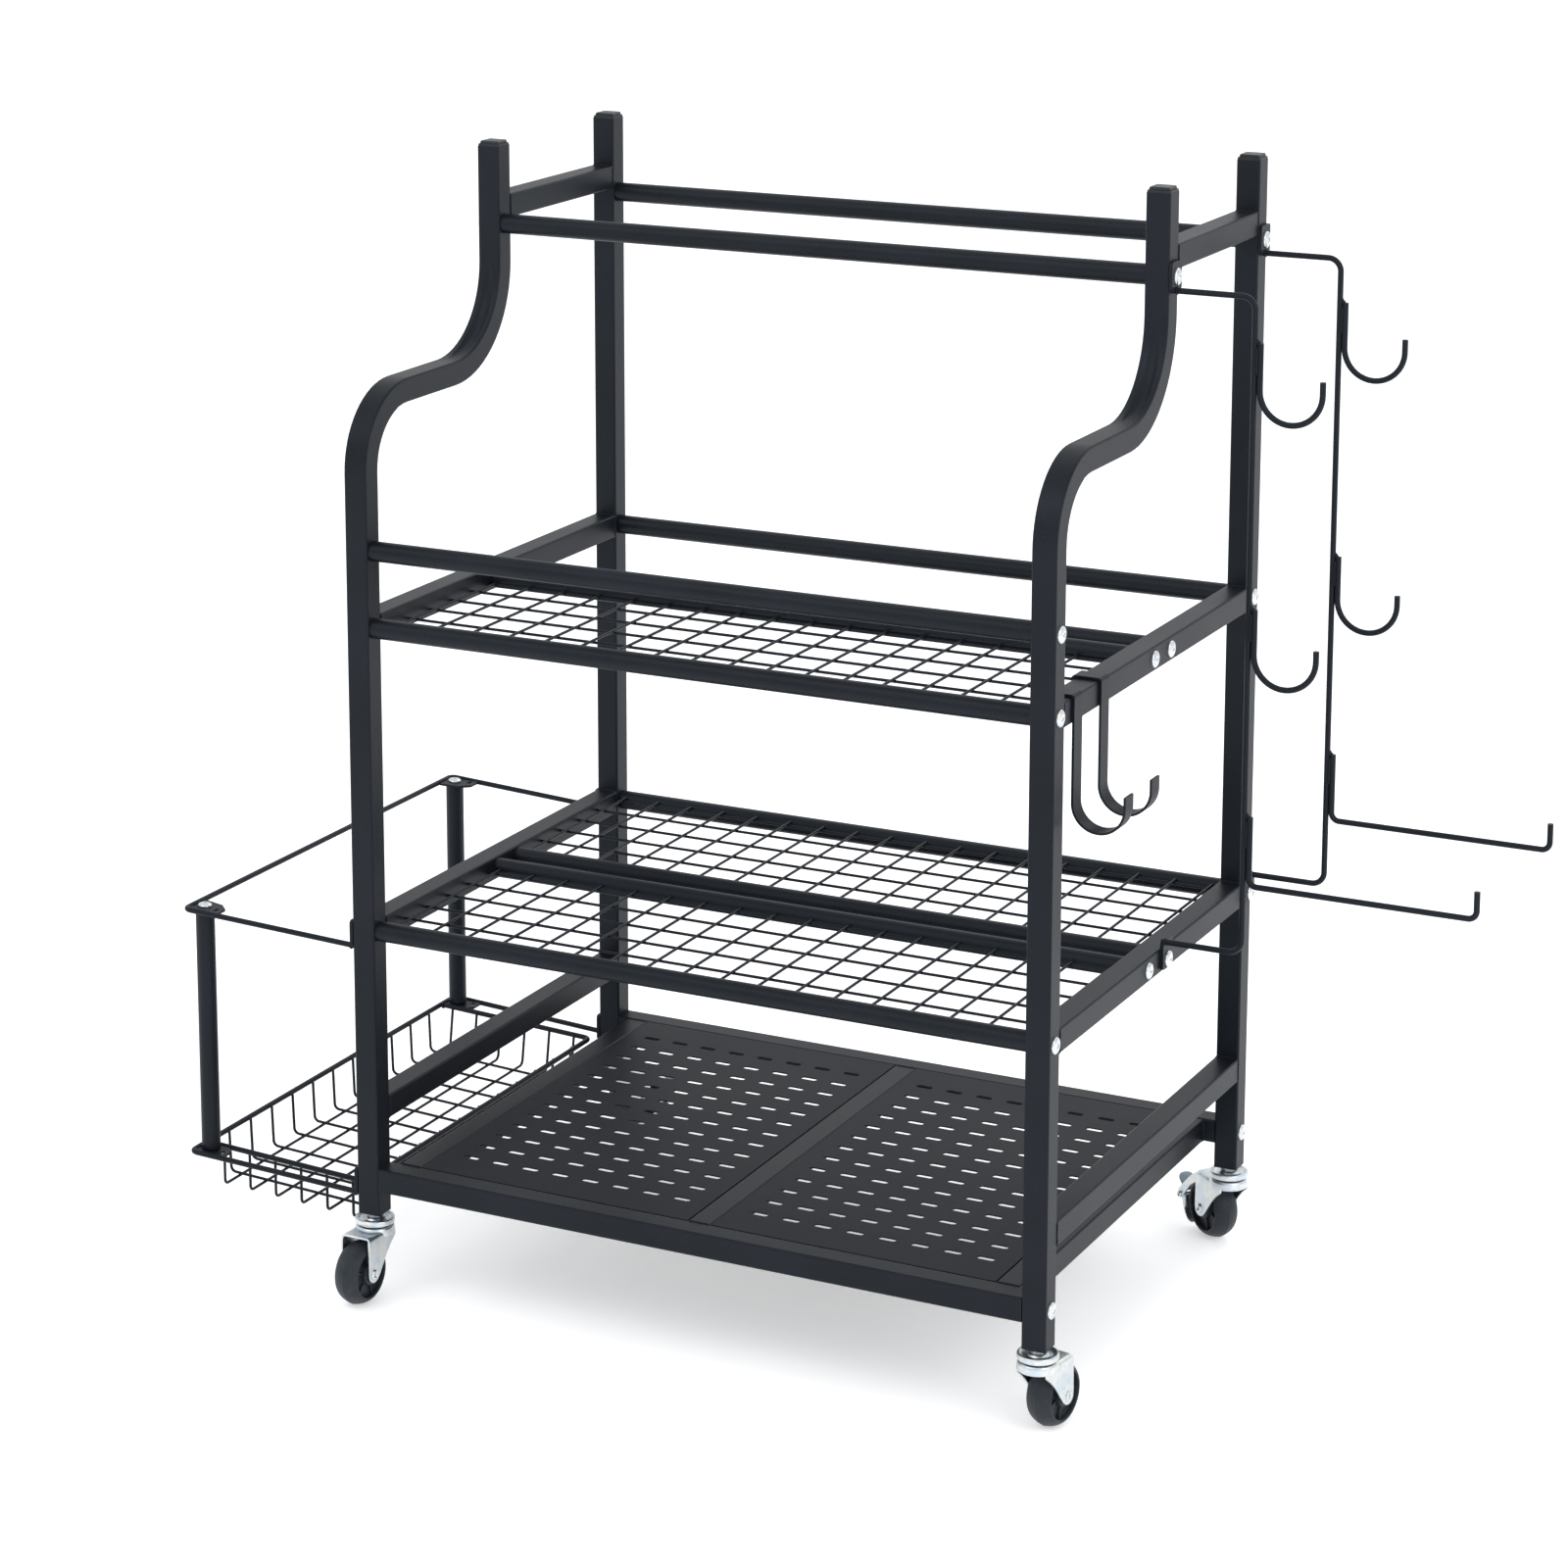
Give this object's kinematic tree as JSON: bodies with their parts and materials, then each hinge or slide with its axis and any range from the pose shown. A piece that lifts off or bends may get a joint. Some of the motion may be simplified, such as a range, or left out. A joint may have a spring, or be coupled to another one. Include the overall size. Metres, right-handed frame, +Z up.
{
  "type": "wheeled wire shelf cart",
  "caption": "Black steel storage cart on swivel casters with wire mesh tiers, a slotted bottom shelf, a side rack for balls or bottles and hooks along one side.",
  "frame": {"origin": "on the floor, under the middle of the four posts", "axes": "+Z up, +X to the side with the hooks, -Y to the front where the posts bend back"},
  "size_m": [1.0702, 0.553, 0.9667],
  "materials": {
    "black_tube": "satin black powder coat",
    "black_wire": "satin black powder coat",
    "black_sheet": "satin black powder coat",
    "black_hook": "satin black powder coat",
    "screw": "bright zinc plate",
    "fork": "bright zinc plate",
    "rivet": "bright zinc plate",
    "brake": "blue grey coated steel",
    "wheel": "dark grey moulded plastic",
    "cap": "black moulded plastic",
    "plug": "plain moulded plastic"
  },
  "bodies": {
    "frame": {"basket_wires": "black_wire", "caster_stems": "fork", "frame_screws": "screw", "holder_ring_lower": "black_wire", "holder_ring_upper": "black_wire", "holder_screws": "screw", "holder_tubes": "black_tube", "hook_rail_front": "black_hook", "hook_rail_rear": "black_hook", "low_guard_rail_left": "black_tube", "low_guard_rail_right": "black_tube", "post_end_caps": "cap", "post_foot_plugs": "plug", "post_front_left": "black_tube", "post_front_right": "black_tube", "post_rear_left": "black_tube", "post_rear_right": "black_tube", "rail_hooks_front": "black_hook", "rail_hooks_rear": "black_hook", "shelf_divider": "black_tube", "shelf_rail_front": "black_tube", "shelf_rail_left": "black_tube", "shelf_rail_rear": "black_tube", "shelf_rail_right": "black_tube", "shelf_tray_left": "black_sheet", "shelf_tray_right": "black_sheet", "tier2_bar_front": "black_tube", "tier2_bar_rear": "black_tube", "tier2_bars_middle": "black_tube", "tier2_guard_bar": "black_tube", "tier2_mesh": "black_wire", "tier2_rail_left": "black_tube", "tier2_rail_right": "black_tube", "tier3_bar_front": "black_tube", "tier3_bar_rear": "black_tube", "tier3_bars_middle": "black_tube", "tier3_mesh_front": "black_wire", "tier3_mesh_rear": "black_wire", "tier3_rail_left": "black_tube", "tier3_rail_right": "black_tube", "top_bar_front": "black_tube", "top_bar_rear": "black_tube", "top_rail_left": "black_tube", "top_rail_right": "black_tube"},
    "fork_front_left": {"caster_fork_front_left": "fork", "caster_pins_front_left": "rivet"},
    "wheel_front_left": {"caster_wheel_front_left": "wheel"},
    "fork_front_right": {"caster_fork_front_right": "fork", "caster_pins_front_right": "rivet"},
    "wheel_front_right": {"caster_wheel_front_right": "wheel"},
    "fork_rear_left": {"caster_fork_rear_left": "fork", "caster_pins_rear_left": "rivet"},
    "wheel_rear_left": {"caster_wheel_rear_left": "wheel"},
    "brake_rear_left": {"brake_lever_rear_left": "brake"},
    "fork_rear_right": {"caster_fork_rear_right": "fork", "caster_pins_rear_right": "rivet"},
    "wheel_rear_right": {"caster_wheel_rear_right": "wheel"},
    "brake_rear_right": {"brake_lever_rear_right": "brake"},
    "strip_front": {"strip_hook_front": "black_hook"},
    "strip_rear": {"strip_hook_rear": "black_hook"}
  },
  "joints": [
    {"name": "swivel_front_left", "type": "hinge", "parent": "frame", "child": "fork_front_left", "pos_m": [-0.3056, -0.215, 0.0595], "axis": [0, 0, 1], "continuous": true},
    {"name": "spin_front_left", "type": "hinge", "parent": "fork_front_left", "child": "wheel_front_left", "pos_m": [-0.30643, -0.23879, 0.0278], "axis": [0.9994, -0.0349, 0], "continuous": true},
    {"name": "swivel_front_right", "type": "hinge", "parent": "frame", "child": "fork_front_right", "pos_m": [0.3056, -0.215, 0.0595], "axis": [0, 0, 1], "continuous": true},
    {"name": "spin_front_right", "type": "hinge", "parent": "fork_front_right", "child": "wheel_front_right", "pos_m": [0.30932, -0.19149, 0.0278], "axis": [-0.9877, 0.1564, 0], "continuous": true},
    {"name": "swivel_rear_left", "type": "hinge", "parent": "frame", "child": "fork_rear_left", "pos_m": [-0.3056, 0.215, 0.0595], "axis": [0, 0, 1], "continuous": true},
    {"name": "spin_rear_left", "type": "hinge", "parent": "fork_rear_left", "child": "wheel_rear_left", "pos_m": [-0.29554, 0.23657, 0.0278], "axis": [-0.9063, 0.4226, 0], "continuous": true},
    {"name": "brake_press_rear_left", "type": "hinge", "parent": "fork_rear_left", "child": "brake_rear_left", "pos_m": [-0.28159, 0.26648, 0.029], "axis": [-0.9063, 0.4226, 0], "range_deg": [0, 6]},
    {"name": "swivel_rear_right", "type": "hinge", "parent": "frame", "child": "fork_rear_right", "pos_m": [0.3056, 0.215, 0.0595], "axis": [0, 0, 1], "continuous": true},
    {"name": "spin_rear_right", "type": "hinge", "parent": "fork_rear_right", "child": "wheel_rear_right", "pos_m": [0.28685, 0.22965, 0.0278], "axis": [-0.6157, -0.788, 0], "continuous": true},
    {"name": "brake_press_rear_right", "type": "hinge", "parent": "fork_rear_right", "child": "brake_rear_right", "pos_m": [0.26084, 0.24997, 0.029], "axis": [-0.6157, -0.788, 0], "range_deg": [0, 6]},
    {"name": "strip_hook_front_slide", "type": "slide", "parent": "frame", "child": "strip_front", "axis": [0, 1, 0], "range_m": [-0.013, 0.017]},
    {"name": "strip_hook_rear_slide", "type": "slide", "parent": "frame", "child": "strip_rear", "axis": [0, 1, 0], "range_m": [-0.017, 0.09]}
  ]
}
